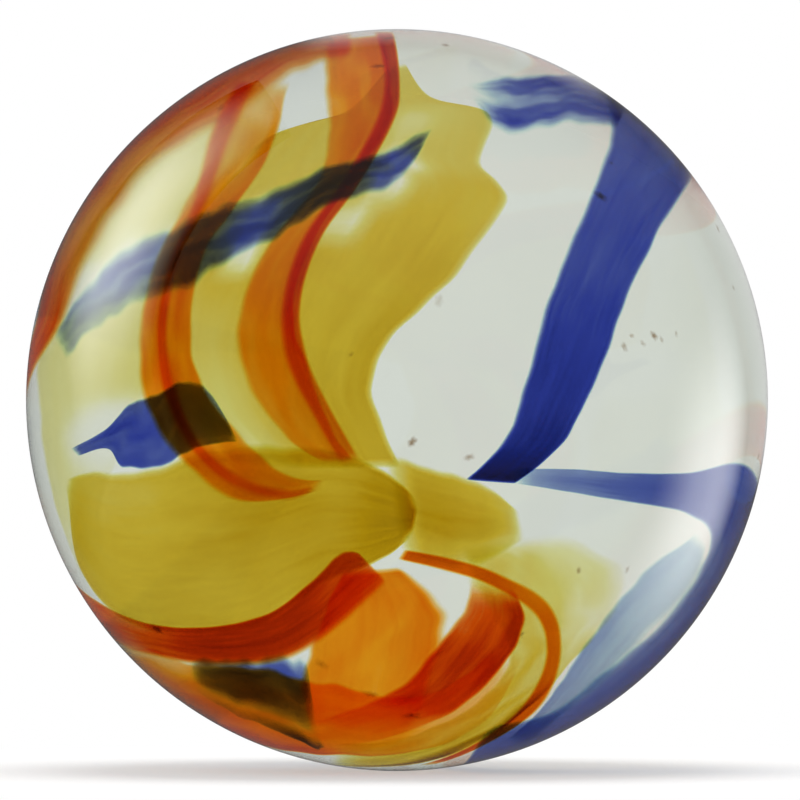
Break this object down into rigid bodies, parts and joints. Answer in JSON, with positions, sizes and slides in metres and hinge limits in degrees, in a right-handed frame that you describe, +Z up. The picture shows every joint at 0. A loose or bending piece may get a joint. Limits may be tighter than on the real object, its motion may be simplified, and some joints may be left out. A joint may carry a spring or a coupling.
{
  "type": "glass marble",
  "caption": "Playing marble: a ball of clear glass with ribbons of blue, yellow, orange and red transparent glass swirled through it, for games, vase filling or as a small rolling ball",
  "frame": {"origin": "Middle of the ball", "axes": "+Z is up in the picture, -Y faces the camera and +X is to the right as the camera sees it"},
  "size_m": [0.016, 0.016, 0.016],
  "materials": {
    "clear_glass": "fire polished",
    "blue_glass": "transparent colour",
    "yellow_glass": "transparent colour",
    "orange_glass": "transparent colour",
    "red_glass": "transparent colour"
  },
  "bodies": {
    "root": {"clear_glass": "clear_glass", "blue_swirl": "blue_glass", "yellow_swirl": "yellow_glass", "orange_swirl": "orange_glass", "red_swirl": "red_glass"}
  },
  "joints": []
}
